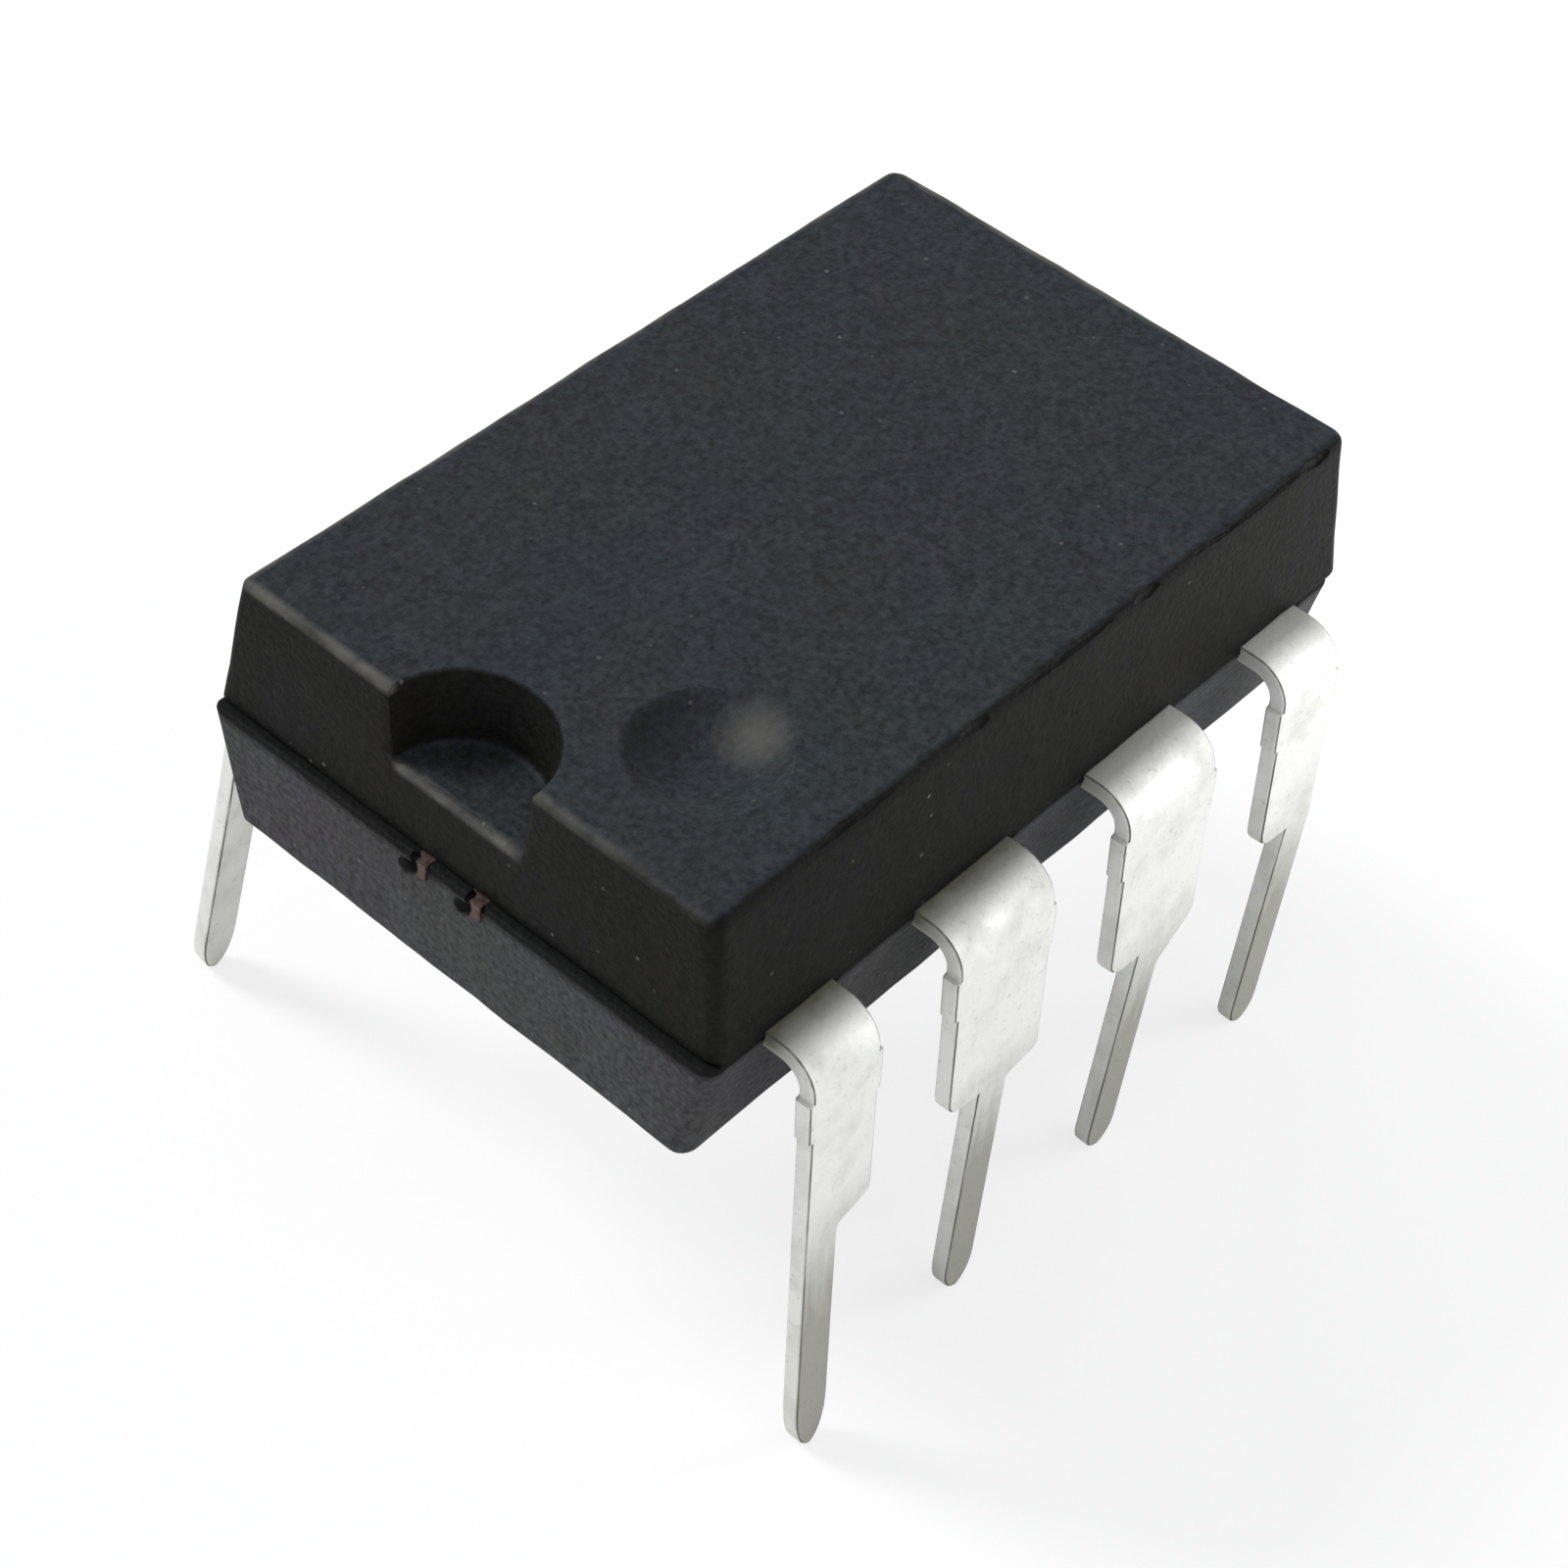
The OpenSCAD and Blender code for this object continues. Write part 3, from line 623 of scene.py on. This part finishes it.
def edge_profiles(leads, slot):
    """Half widths of a lead towards -X and +X, each as (drop below the parting plane, half width)."""
    pin = mm(leads.pin_width) / 2
    shoulder = mm(leads.shoulder_width) / 2
    drop = mm(leads.shoulder_drop)
    tip = drop + mm(leads.pin_length)
    tip_length = mm(leads.tip_lengths[slot])
    slope = mm(leads.step_slopes[slot])
    radius = mm(leads.step_radius)
    reach = mm(leads.stub_reach)
    stub_top = mm(leads.stub_drop)
    stub_end = stub_top + mm(leads.stub_height)
    least = mm(leads.edge_radius) * 1.1

    def stub(edge):
        return [
            (0, edge),
            (stub_top - STEP, edge),
            (stub_top, edge + reach),
            (stub_end, edge + reach * 0.8),
            (stub_end + STEP, edge),
        ]

    end = [
        (tip - tip_length * (1 - math.sin(a)), max(pin * math.cos(a), least))
        for a in map(math.radians, (0, 18, 34, 48, 60, 70, 78))
    ]
    round_corner = [
        (drop - radius * (1 - math.sin(a)), shoulder - radius * (1 - math.cos(a)))
        for a in map(math.radians, (0, 22, 45, 67, 90))
    ]
    run = shoulder - pin
    sloped_corner = [
        (drop - 0.07, shoulder),
        (drop - 0.03, shoulder - 0.006),
        (drop, shoulder - 0.03),
        (drop + slope * 0.12 + 0.01, shoulder - run * 0.14),
        (drop + slope * 0.85, pin + run * 0.16),
        (drop + slope * 0.95 + 0.012, pin + run * 0.05),
        (drop + slope + 0.06, pin),
    ]
    left = stub(pin) + end if slot == 0 else stub(shoulder) + round_corner + [(drop + STEP, pin)] + end
    right = stub(pin) + end if slot == ROW_COUNT - 1 else stub(shoulder) + sloped_corner + end
    return left, right


def width_at(profile, drop):
    for (a, first), (b, second) in zip(profile, profile[1:]):
        if drop <= b:
            share = (drop - a) / (b - a)
            return first + (second - first) * max(share, 0)
    return profile[-1][1]


def lead_stations(leads, slot, side, shoulder_lean, pin_lean):
    """Stations along one strip, from its finger inside the body to its tip, about the parting plane.
    Each has the middle of the strip's -X edge and of its +X edge, and how far it has turned down."""
    thickness = mm(leads.thickness)
    pin = mm(leads.pin_width) / 2
    shoulder = mm(leads.shoulder_width) / 2
    wall = mm(bpy.context.scene.package_body.body_width) / 2
    anchor = wall - mm(leads.anchor_depth)
    bend = wall + mm(leads.standoff)
    outer = mm(leads.bend_radius) + thickness
    middle_radius = outer - thickness / 2
    flat = -thickness / 2
    last = ROW_COUNT - 1
    gap = mm(leads.finger_gap)
    plan = []
    if slot in (0, last):
        knee = wall - mm(leads.knee_depth)
        tip_x = mm(leads.pitch) * last / 2 - mm(leads.paddle_length) / 2 - gap
        tip_y = mm(leads.tie_reach) + gap
        tip_width = mm(leads.finger_tip)
        slant = (knee - tip_y) / (tip_x + pin)
        back = 3 * mm(leads.edge_radius)
        plan = [
            ((tip_x - back, tip_y + back * slant), (tip_x, tip_y + tip_width)),
            ((-pin, knee), (pin, tip_y + tip_width + (tip_x - pin) * slant)),
            ((-pin, anchor), (pin, anchor)),
            ((-pin, anchor + STEP), (shoulder, anchor + STEP)),
            ((-pin, bend), (shoulder, bend)),
        ]
        if slot == last:
            plan = [((-right[0], right[1]), (-left[0], left[1])) for left, right in plan]
    else:
        finger = mm(leads.finger_width) / 2
        tip_y = mm(leads.paddle_width) / 2 + gap
        plan = [
            ((-half, y), (half, y))
            for half, y in (
                (finger, tip_y),
                (finger, anchor),
                (shoulder, anchor + STEP),
                (shoulder, bend),
            )
        ]
    stations = [
        Station(Vector((left[0], left[1], flat)), Vector((right[0], right[1], flat)), 0.0)
        for left, right in plan
    ]
    left_half, right_half = -plan[-1][0][0], plan[-1][1][0]
    turn = math.pi / 2 - shoulder_lean
    for step in range(1, 10):
        a = turn * step / 9
        y = bend + middle_radius * math.sin(a)
        z = -outer + middle_radius * math.cos(a)
        stations.append(Station(Vector((-left_half, y, z)), Vector((right_half, y, z)), a))
    left, right = edge_profiles(leads, slot)
    drop = mm(leads.shoulder_drop)
    start = stations[-1].left.yz
    drops = sorted({d for d, _ in left + right if d > -start[1] + STEP})
    kept = []
    for d in drops:
        if not kept or d - kept[-1] > STEP * 0.6:
            kept.append(d)
    knee_y = start[0] + (drop + start[1]) * math.tan(shoulder_lean)
    for d in kept:
        if d <= drop:
            y, pitch = start[0] + (d + start[1]) * math.tan(shoulder_lean), math.pi / 2 - shoulder_lean
        else:
            y, pitch = knee_y + (d - drop) * math.tan(pin_lean), math.pi / 2 - pin_lean
        stations.append(
            Station(Vector((-width_at(left, d), y, -d)), Vector((width_at(right, d), y, -d)), pitch)
        )
    flip = Vector((1, side, 1))
    return [Station(s.left * flip, s.right * flip, s.pitch * side) for s in stations]


def stretch_strip(piece, here, there):
    """Extrude the open end of a strip from one station to the next."""
    bpy.ops.mesh.extrude_region_move(TRANSFORM_OT_translate={"value": (0, 0, 0)})
    middle = (here.left + here.right) / 2
    turn = there.pitch - here.pitch
    if abs(turn) > 1e-6:
        bpy.ops.transform.rotate(value=turn, orient_axis="X", center_override=middle)
    end = [(v.index, v.co.x > middle.x) for v in bmesh.from_edit_mesh(piece.data).verts if v.select]

    def choose_end(*sides):
        bpy.ops.mesh.select_all(action="DESELECT")
        mesh = bmesh.from_edit_mesh(piece.data)
        mesh.verts.ensure_lookup_table()
        for i, is_right in end:
            if is_right in sides:
                mesh.verts[i].select_set(True)
        mesh.select_flush(True)
        bmesh.update_edit_mesh(piece.data)

    choose_end(False)
    bpy.ops.transform.translate(value=there.left - here.left)
    choose_end(True)
    bpy.ops.transform.translate(value=there.right - here.right)
    choose_end(False, True)


def form_lead(leads, number, material):
    """Stamp and form one lead: a rolled-edge strip drawn out from its finger to its rounded tip."""
    is_far = number > ROW_COUNT
    slot = 2 * ROW_COUNT - number if is_far else number - 1
    side = 1 if is_far else -1
    shoulder_lean = leads.far_shoulder_lean if is_far else leads.near_shoulder_lean
    pin_lean = (leads.far_pin_leans if is_far else leads.near_pin_leans)[slot]
    stations = lead_stations(leads, slot, side, shoulder_lean, pin_lean)
    lift = Vector(((slot - (ROW_COUNT - 1) / 2) * mm(leads.pitch), 0, mm(PARTING)))
    stations = [Station(s.left + lift, s.right + lift, s.pitch) for s in stations]
    first = stations[0]
    middle = (first.left + first.right) / 2
    width = first.right.x - first.left.x
    thickness = mm(leads.thickness)
    bpy.ops.mesh.primitive_plane_add(size=1, location=middle, rotation=(math.pi / 2, 0, 0))
    piece = named(f"formed_lead_{number}")
    start_edit(piece)
    bpy.ops.transform.resize(value=(width, 1, thickness), center_override=middle)
    bpy.ops.mesh.bevel(offset=mm(leads.edge_radius), segments=3, affect="VERTICES")
    bpy.ops.mesh.select_all(action="SELECT")
    # The finger's own end may be cut at a slant
    straight = Station(middle - Vector((width / 2, 0, 0)), middle + Vector((width / 2, 0, 0)), 0.0)
    for before, after, way in ((straight.left, first.left, -1), (straight.right, first.right, 1)):
        choose(piece, "VERT", lambda v: (v.co.x - middle.x) * way > 0)
        bpy.ops.transform.translate(value=after - before)
    bpy.ops.mesh.select_all(action="SELECT")
    bpy.ops.mesh.select_mode(type="VERT")
    for here, there in zip(stations, stations[1:]):
        stretch_strip(piece, here, there)
    end_edit()
    close_up(piece)
    finish_piece(piece, 40, material, "tin_plate", f"lead_{number}")


# Body


def drafted_half(body, way, height, draft):
    """One moulded half: a block drawn in to its draft, with rounded uprights, rim and worn seam edge."""
    size = Vector((mm(body.body_length), mm(body.body_width), height))
    shift = way * mm(body.mismatch) / 2
    bpy.ops.mesh.primitive_cube_add(size=1, location=(shift, 0, mm(PARTING) + way * height / 2), scale=size)
    piece = named("moulded_half")
    face = mm(PARTING) + way * height
    start_edit(piece)
    choose(piece, "FACE", lambda f: f.normal.z * way > 0.9)
    narrow = (
        1 - 2 * height * math.tan(body.end_draft) / size.x, 1 - 2 * height * math.tan(draft) / size.y, 1
    )
    bpy.ops.transform.resize(value=narrow, center_override=(shift, 0, face))
    choose(piece, "VERT", lambda v: v.co.y > 0 and (way < 0 or abs(v.co.z - mm(PARTING)) < 1e-4))
    bpy.ops.transform.translate(value=(0, mm(body.far_swell), 0))

    def is_upright(edge):
        return abs(edge.verts[0].co.z - edge.verts[1].co.z) > height / 2

    def is_sharp(edge):
        return edge.verts[0].co.x < 0 and edge.verts[0].co.y > 0

    choose(piece, "EDGE", lambda e: is_upright(e) and is_sharp(e))
    bpy.ops.mesh.bevel(offset=mm(body.sharp_radius), segments=4, affect="EDGES")
    choose(piece, "EDGE", lambda e: is_upright(e) and not is_sharp(e))
    bpy.ops.mesh.bevel(offset=mm(body.corner_radius), segments=6, affect="EDGES")
    for level, offset, segments in (
        (face, mm(body.rim_radius), 4),
        (mm(PARTING), mm(body.seam_chamfer), 2),
    ):
        choose(piece, "EDGE", lambda e: all(abs(v.co.z - level) < 1e-4 for v in e.verts))
        bpy.ops.mesh.bevel(offset=offset, segments=segments, affect="EDGES")
    end_edit()
    return piece


def slice_piece(piece, spacing):
    """Cut a piece into an even grid along the three directions, so that its faces can move."""
    low = Vector(map(min, zip(*[v.co for v in piece.data.vertices])))
    high = Vector(map(max, zip(*[v.co for v in piece.data.vertices])))
    start_edit(piece)
    for axis in range(3):
        count = max(2, round((high[axis] - low[axis]) / spacing))
        normal = [0, 0, 0]
        normal[axis] = 1
        for i in range(1, count):
            place = [0, 0, 0]
            place[axis] = low[axis] + (high[axis] - low[axis]) * i / count
            bpy.ops.mesh.select_all(action="SELECT")
            bpy.ops.mesh.bisect(plane_co=place, plane_no=normal, threshold=1e-4)
    end_edit()


def turned_tool(name, rings, place, segments=96):
    """A turned cutter: a disc drawn up through (radius, height) rings above a place."""
    x, y, z = place
    bpy.ops.mesh.primitive_circle_add(
        vertices=segments, radius=rings[0][0], fill_type="NGON", location=(x, y, z + rings[0][1])
    )
    piece = named(name)
    start_edit(piece)
    for (radius, height), (wider, higher) in zip(rings, rings[1:]):
        bpy.ops.mesh.extrude_region_move(TRANSFORM_OT_translate={"value": (0, 0, higher - height)})
        share = wider / radius
        bpy.ops.transform.resize(value=(share, share, 1), center_override=(x, y, z + higher))
    bpy.ops.mesh.select_all(action="SELECT")
    bpy.ops.mesh.normals_make_consistent(inside=False)
    end_edit()
    return piece


def notch_tool(body):
    """Cutter of the end notch, with a filleted floor and an eased lip."""
    radius, depth = mm(body.notch_radius), mm(body.notch_depth)
    foot = radius - depth * math.tan(body.notch_draft)
    rings = [
        (foot - 0.09, 0),
        (foot - 0.04, 0.008),
        (foot - 0.012, 0.035),
        (foot, 0.09),
        (radius - 0.004, depth - 0.045),
        (radius + 0.004, depth - 0.02),
        (radius + 0.022, depth - 0.004),
        (radius + 0.05, depth + 0.012),
        (radius + 0.08, depth + 1),
    ]
    drawn_in = mm(TOP - PARTING) * math.tan(body.end_draft)
    top_end = mm(body.body_length) / 2 - mm(body.mismatch) / 2 - drawn_in
    return turned_tool("notch_tool", rings, (-top_end, mm(body.notch_offset), mm(TOP) - depth))


def dimple_tool(body):
    """Cutter of the dished mark, a shallow bowl with an eased lip."""
    radius, depth = mm(body.dimple_radius), mm(body.dimple_depth)
    steps = 14
    rings = [(radius * i / steps, depth * (i / steps) ** 2) for i in range(1, steps)]
    rings += [
        (radius - 0.012, depth - 0.012),
        (radius + 0.01, depth - 0.002),
        (radius + 0.05, depth + 0.014),
        (radius + 0.08, depth + 1),
    ]
    place = (
        mm(body.dimple_from_end) - mm(body.body_length) / 2,
        mm(body.dimple_from_side) - mm(body.body_width) / 2,
        mm(TOP) - depth,
    )
    return turned_tool("dimple_tool", rings, place)


def ejector_tool(body, way):
    """Cutter of one shallow ejector mark in the underside."""
    radius, depth = mm(body.ejector_radius), mm(body.ejector_depth)
    rings = [(radius + 0.03, -1), (radius + 0.03, -0.004), (radius, 0.02), (radius - 0.01, depth)]
    return turned_tool("ejector_tool", rings, (way * mm(body.ejector_reach), 0, mm(UNDERSIDE)))


def chip_tool(place, radius, squash, fineness=3):
    """Cutter of one small broken chip in the compound."""
    bpy.ops.mesh.primitive_ico_sphere_add(subdivisions=fineness, radius=radius, location=place)
    piece = named("chip_tool")
    start_edit(piece)
    bpy.ops.transform.resize(value=squash, center_override=place)
    end_edit()
    texture = bpy.data.textures.new("broken_chip", "CLOUDS")
    texture.noise_scale = radius * 0.8
    modify(piece, "DISPLACE", texture=texture, strength=radius * 0.5, mid_level=0.5)
    bpy.data.textures.remove(texture)
    return piece


def build_body(body, material):
    """Mould the two halves as one piece, let its faces stray a little, and cut its marks and pockets."""
    piece = drafted_half(body, 1, mm(TOP - PARTING), body.upper_draft)
    lower = drafted_half(body, -1, mm(PARTING - UNDERSIDE), body.lower_draft)
    combine(piece, lower, "UNION")
    close_up(piece)
    slice_piece(piece, mm(body.grid))
    texture = bpy.data.textures.new("mould_wobble", "CLOUDS")
    texture.cloud_type = "COLOR"
    texture.noise_scale = 0.7
    texture.noise_depth = 3
    modify(
        piece, "DISPLACE", texture=texture, direction="RGB_TO_XYZ", strength=mm(body.wobble), mid_level=0.5
    )
    tools = [notch_tool(body), dimple_tool(body), ejector_tool(body, -1), ejector_tool(body, 1)]
    end_x = -mm(body.body_length + body.mismatch) / 2
    for y in TIE_BARS:
        tools.append(chip_tool((end_x + 0.03, y, mm(PARTING) - 0.22), 0.12, (1.4, 1.0, 1.0)))
    # The near rim of the top face is chipped along most of its length
    rim_y = mm(TOP - PARTING) * math.tan(body.upper_draft) - mm(body.body_width) / 2
    for x, reach in ((3.1, 13.0), (0.2, 12.0), (-2.9, 9.0)):
        tools.append(chip_tool((x, rim_y - 0.03, mm(TOP) + 0.035), 0.1, (reach, 1.0, 1.0), 5))
    for x in (-1.1, 1.45, 4.2):
        tools.append(chip_tool((x, rim_y - 0.02, mm(TOP)), 0.1, (2.4, 0.8, 0.9)))
    # The lip of the notch's floor is broken away
    lip_z = mm(TOP - body.notch_depth)
    lip_x = end_x + mm(body.mismatch) + (lip_z - mm(PARTING)) * math.tan(body.end_draft)
    tools.append(chip_tool((lip_x, mm(body.notch_offset), lip_z + 0.04), 0.1, (1.0, 7.0, 1.0), 4))
    for tool in tools:
        combine(piece, tool, "DIFFERENCE")
    for number in range(1, 2 * ROW_COUNT + 1):
        lead = bpy.data.objects[f"formed_lead_{number}"]
        combine(piece, workshop_copy(lead, "lead_tool"), "DIFFERENCE")
    combine(piece, workshop_copy(frame["nodes"]["die_paddle"], "paddle_tool"), "DIFFERENCE")
    close_up(piece, 1e-5)
    piece.name = "moulded_body"
    piece.data.name = "moulded_body"
    finish_piece(piece, 32, material, "mould_compound", "package_body")


# Operators


class OBJECT_OT_package_leads(bpy.types.Operator):
    """Form the eight plated leads"""

    bl_idname = "object.package_leads"
    bl_label = "Form Leads"

    def execute(self, context):
        leads = context.scene.package_leads
        material = matte_tin(leads)
        for number in range(1, 2 * ROW_COUNT + 1):
            form_lead(leads, number, material)
        return {"FINISHED"}


class OBJECT_OT_package_body(bpy.types.Operator):
    """Mould the package body round the leads"""

    bl_idname = "object.package_body"
    bl_label = "Mould Body"

    def execute(self, context):
        body = context.scene.package_body
        build_body(body, moulded_epoxy(body))
        return {"FINISHED"}


class OBJECT_OT_package_inside(bpy.types.Operator):
    """Finish the die paddle, adhesive, die and bond wires"""

    bl_idname = "object.package_inside"
    bl_label = "Finish Inside"

    def execute(self, context):
        inside = context.scene.package_inside
        # Copper alloy, sheared after moulding: warm, dull and torn at its cut ends
        copper = plain_metal("sheared_copper", inside.copper_colour, 0.3, 14000.0, 0.6, 0.7)
        # Silver-filled epoxy, cured under the die: grey and satin with fine flakes
        silver = plain_metal("silver_adhesive", inside.silver_colour, 0.7, 20000.0, 0.55, 0.6)
        # Silicon, polished: dark blue grey and glossy
        silicon = plain_metal("polished_silicon", inside.silicon_colour, 0.8, 3000.0, 0.18, 0.8)
        # Gold wire, drawn through a die: bright and smooth
        gold = plain_metal("drawn_gold", inside.gold_colour, 0.85, 12000.0, 0.25)
        # The cut tie bars are torn at their ends
        paddle = workshop_copy(frame["nodes"]["die_paddle"], "torn_paddle")
        body = context.scene.package_body
        end_x = -mm(body.body_length + body.mismatch) / 2
        for y in TIE_BARS:
            tear = chip_tool((end_x, y - 0.02, mm(PARTING) - 0.1), 0.15, (0.9, 1.0, 1.4))
            combine(paddle, tear, "DIFFERENCE")
        finish_piece(paddle, 32, copper, "bare_copper", "die_paddle")
        finishes = {"die_adhesive": silver, "silicon_die": silicon}
        for number in range(1, 2 * ROW_COUNT + 1):
            finishes[f"bond_wire_{number}"] = gold
        for name, material in finishes.items():
            node = frame["nodes"][name]
            node.data.materials.clear()
            node.data.materials.append(material)
        return {"FINISHED"}


class OBJECT_OT_package_studio(bpy.types.Operator):
    """Lay the floor, light the package and set the camera"""

    bl_idname = "object.package_studio"
    bl_label = "Set Up Studio"

    def execute(self, context):
        studio = context.scene.package_studio
        lay_floor(studio)
        light_sky(studio)
        for name, way, strength, spread in (
            ("key_light", Vector((-0.25, 0.68, 0.69)), studio.key_strength, 20),
            ("fill_light", Vector((0.1, -0.88, 0.46)), studio.fill_strength, 60),
        ):
            # Broad, soft lights from far away
            add_lamp(name, "SUN", way * 0.2, way, strength, angle=math.radians(spread))
        # A small soft panel close to the last leads, for the fall-off along that side
        place = Vector((0.02, -0.016, 0.01))
        add_lamp("side_light", "AREA", place, place - Vector((0, 0, PARTING)), studio.side_power, size=0.01)
        set_camera(studio)
        return {"FINISHED"}


def lay_floor(studio):
    """A pale floor under the lead tips, which the camera sees nearly white, with the package's shadow."""
    bpy.ops.mesh.primitive_plane_add(size=0.8, location=(0, 0, 0))
    floor = named("floor")
    material, add = start_material("matte_white_paper")
    paper = add("BsdfDiffuse", {"Color": rgba(studio.floor_colour)})
    glow = add("Emission", {"Color": (1, 1, 1, 1), "Strength": 1.0})
    seen = add("Math", {0: add("LightPath").outputs["Is Camera Ray"], 1: 0.75}, operation="MULTIPLY")
    both = add("MixShader", {0: seen, 1: paper, 2: glow})
    add("OutputMaterial", {"Surface": both})
    floor.data.materials.append(material)


def light_sky(studio):
    """Even light from all round, seen as white by the camera and in reflections."""
    world = bpy.data.worlds.new("studio")
    bpy.context.scene.world = world
    world.use_nodes = True
    world.node_tree.nodes.clear()
    add = partial(add_node, world.node_tree)
    rays = add("LightPath").outputs
    seen = add("Math", {0: rays["Is Camera Ray"], 1: rays["Is Glossy Ray"]}, operation="MAXIMUM")
    through = add("Math", {0: seen, 1: rays["Is Transmission Ray"]}, operation="MAXIMUM")
    light = add("Background", {"Color": rgba(linear("#f4f7fb")), "Strength": studio.sky_strength})
    white = add("Background", {"Color": (1, 1, 1, 1), "Strength": 1.0})
    both = add("MixShader", {0: through, 1: light, 2: white})
    add("OutputWorld", {"Surface": both})


def add_lamp(name, kind, place, way, energy, **settings):
    """A lamp at a place, which shines against the way given."""
    light = bpy.data.lights.new(name, kind)
    light.energy = energy
    for key, value in settings.items():
        setattr(light, key, value)
    lamp = bpy.data.objects.new(name, light)
    bpy.context.scene.collection.objects.link(lamp)
    lamp.rotation_mode = "QUATERNION"
    lamp.rotation_quaternion = way.to_track_quat("Z", "Y")
    lamp.location = place


# The photograph's view, solved from the package's corners
CAMERA_PLACE = (-0.020452, -0.015820, 0.030703)
CAMERA_RIGHT = Vector((0.66748, -0.74116, 0.07185))
CAMERA_UP = Vector((0.50467, 0.52121, 0.68822))


def set_camera(studio):
    """A camera with the photograph's view."""
    camera = bpy.data.cameras.new("camera")
    camera.sensor_width = 36.0
    camera.lens = studio.focal_length
    camera.clip_start, camera.clip_end = 0.001, 10.0
    camera.dof.use_dof = False
    holder = bpy.data.objects.new("camera", camera)
    bpy.context.scene.collection.objects.link(holder)
    back = CAMERA_RIGHT.cross(CAMERA_UP).normalized()
    up = back.cross(CAMERA_RIGHT).normalized()
    right = CAMERA_RIGHT.normalized()
    turn = Matrix((right, up, back)).transposed().to_4x4()
    holder.matrix_world = Matrix.Translation(CAMERA_PLACE) @ turn
    bpy.context.scene.camera = holder


class VIEW3D_PT_package(bpy.types.Panel):
    """Builds the package piece by piece"""

    bl_label = "Dual In-line Package"
    bl_idname = "VIEW3D_PT_package"
    bl_space_type = "VIEW_3D"
    bl_region_type = "UI"
    bl_category = "Package"

    def draw(self, context):
        for settings, operator in STEPS:
            box = self.layout.box()
            group = getattr(context.scene, settings)
            for name in group.__annotations__:
                box.prop(group, name)
            box.operator(operator)


GROUPS = {
    "package_leads": LeadSettings,
    "package_body": PackageBodySettings,
    "package_inside": InsideSettings,
    "package_studio": StudioSettings,
}
STEPS = [(name, f"object.{name}") for name in GROUPS]
CLASSES = (
    *GROUPS.values(),
    OBJECT_OT_package_leads,
    OBJECT_OT_package_body,
    OBJECT_OT_package_inside,
    OBJECT_OT_package_studio,
    VIEW3D_PT_package,
)


def register():
    for cls in CLASSES:
        bpy.utils.register_class(cls)
    for name, group in GROUPS.items():
        setattr(bpy.types.Scene, name, PointerProperty(type=group))


def unregister():
    for name in GROUPS:
        delattr(bpy.types.Scene, name)
    for cls in reversed(CLASSES):
        bpy.utils.unregister_class(cls)


def main():
    register()
    bpy.context.scene.view_settings.view_transform = "Standard"
    bpy.ops.object.package_leads()
    bpy.ops.object.package_body()
    bpy.ops.object.package_inside()
    bpy.ops.object.package_studio()


if __name__ == "__main__":
    main()
